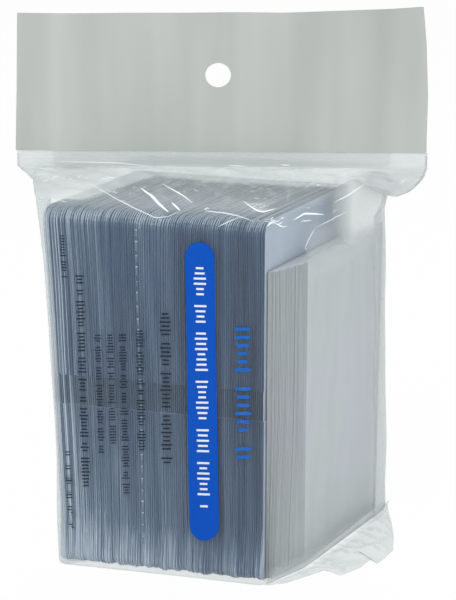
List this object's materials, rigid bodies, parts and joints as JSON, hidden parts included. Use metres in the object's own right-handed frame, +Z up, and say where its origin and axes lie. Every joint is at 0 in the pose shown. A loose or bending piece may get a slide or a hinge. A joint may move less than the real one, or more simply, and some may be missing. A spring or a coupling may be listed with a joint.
{
  "type": "coin flip pack",
  "caption": "Hang pack of double pocket vinyl coin flips standing open on end beside a pile of card inserts, in a clear film bag with an opaque header and a closing flap.",
  "frame": {"origin": "middle of the pack's footprint, on the surface that it stands on", "axes": "+X along the header to the right, +Y from the front to the back, +Z up"},
  "size_m": [0.142, 0.0728, 0.1988],
  "materials": {
    "clear_film": "clear polypropylene film, glossy and creased",
    "weld_bead": "melted film edge, milky",
    "header_film": "opaque pearl grey film, satin",
    "vinyl_sheet": "rigid vinyl sheet, clear with a slate blue cast in the stack",
    "insert_card": "smooth white paper",
    "adhesive": "clear pressure sensitive adhesive with small bubbles"
  },
  "bodies": {
    "bag": {"bag_floor": "clear_film", "front_film": "clear_film", "back_film": "clear_film", "front_shoulder": "clear_film", "back_shoulder": "clear_film", "front_neck": "clear_film", "side_seal_left": "weld_bead", "side_seal_right": "weld_bead", "bottom_ear_left": "clear_film", "bottom_ear_right": "clear_film"},
    "header": {"header_front_ply": "header_film", "header_back_ply": "header_film"},
    "flap": {"closing_flap": "clear_film", "adhesive_strip": "adhesive"},
    "bundle_01": {"flip_backs_01": "vinyl_sheet", "lower_pockets_01": "vinyl_sheet", "upper_pockets_01": "vinyl_sheet"},
    "bundle_02": {"flip_backs_02": "vinyl_sheet", "lower_pockets_02": "vinyl_sheet", "upper_pockets_02": "vinyl_sheet"},
    "bundle_03": {"flip_backs_03": "vinyl_sheet", "lower_pockets_03": "vinyl_sheet", "upper_pockets_03": "vinyl_sheet"},
    "bundle_04": {"flip_backs_04": "vinyl_sheet", "lower_pockets_04": "vinyl_sheet", "upper_pockets_04": "vinyl_sheet"},
    "bundle_05": {"flip_backs_05": "vinyl_sheet", "lower_pockets_05": "vinyl_sheet", "upper_pockets_05": "vinyl_sheet"},
    "bundle_06": {"flip_backs_06": "vinyl_sheet", "lower_pockets_06": "vinyl_sheet", "upper_pockets_06": "vinyl_sheet"},
    "bundle_07": {"flip_backs_07": "vinyl_sheet", "lower_pockets_07": "vinyl_sheet", "upper_pockets_07": "vinyl_sheet"},
    "bundle_08": {"flip_backs_08": "vinyl_sheet", "lower_pockets_08": "vinyl_sheet", "upper_pockets_08": "vinyl_sheet"},
    "bundle_09": {"flip_backs_09": "vinyl_sheet", "lower_pockets_09": "vinyl_sheet", "upper_pockets_09": "vinyl_sheet"},
    "bundle_10": {"flip_backs_10": "vinyl_sheet", "lower_pockets_10": "vinyl_sheet", "upper_pockets_10": "vinyl_sheet"},
    "insert_pile": {"insert_cards_01": "insert_card", "insert_cards_02": "insert_card", "insert_cards_03": "insert_card", "insert_cards_04": "insert_card", "insert_cards_05": "insert_card"}
  },
  "joints": [
    {"name": "header_bend", "type": "hinge", "parent": "bag", "child": "header", "pos_m": [0, 0, 0.14855], "axis": [1, 0, 0], "range_deg": [-30, 90], "stiffness_Nm_per_rad": 0.002},
    {"name": "flap_open", "type": "hinge", "parent": "bag", "child": "flap", "pos_m": [0, 0.00045, 0.1483], "axis": [1, 0, 0], "range_deg": [0, 80]},
    {"name": "bundle_01_lift", "type": "slide", "parent": "bag", "child": "bundle_01", "axis": [0, 0, 1], "range_m": [0, 0.004]},
    {"name": "bundle_02_lift", "type": "slide", "parent": "bag", "child": "bundle_02", "axis": [0, 0, 1], "range_m": [0, 0.004]},
    {"name": "bundle_03_lift", "type": "slide", "parent": "bag", "child": "bundle_03", "axis": [0, 0, 1], "range_m": [0, 0.004]},
    {"name": "bundle_04_lift", "type": "slide", "parent": "bag", "child": "bundle_04", "axis": [0, 0, 1], "range_m": [0, 0.004]},
    {"name": "bundle_05_lift", "type": "slide", "parent": "bag", "child": "bundle_05", "axis": [0, 0, 1], "range_m": [0, 0.004]},
    {"name": "bundle_06_lift", "type": "slide", "parent": "bag", "child": "bundle_06", "axis": [0, 0, 1], "range_m": [0, 0.004]},
    {"name": "bundle_07_lift", "type": "slide", "parent": "bag", "child": "bundle_07", "axis": [0, 0, 1], "range_m": [0, 0.004]},
    {"name": "bundle_08_lift", "type": "slide", "parent": "bag", "child": "bundle_08", "axis": [0, 0, 1], "range_m": [0, 0.004]},
    {"name": "bundle_09_lift", "type": "slide", "parent": "bag", "child": "bundle_09", "axis": [0, 0, 1], "range_m": [0, 0.004]},
    {"name": "bundle_10_lift", "type": "slide", "parent": "bag", "child": "bundle_10", "axis": [0, 0, 1], "range_m": [0, 0.004]},
    {"name": "insert_pile_lift", "type": "slide", "parent": "bag", "child": "insert_pile", "axis": [0, 0, 1], "range_m": [0, 0.004]}
  ]
}
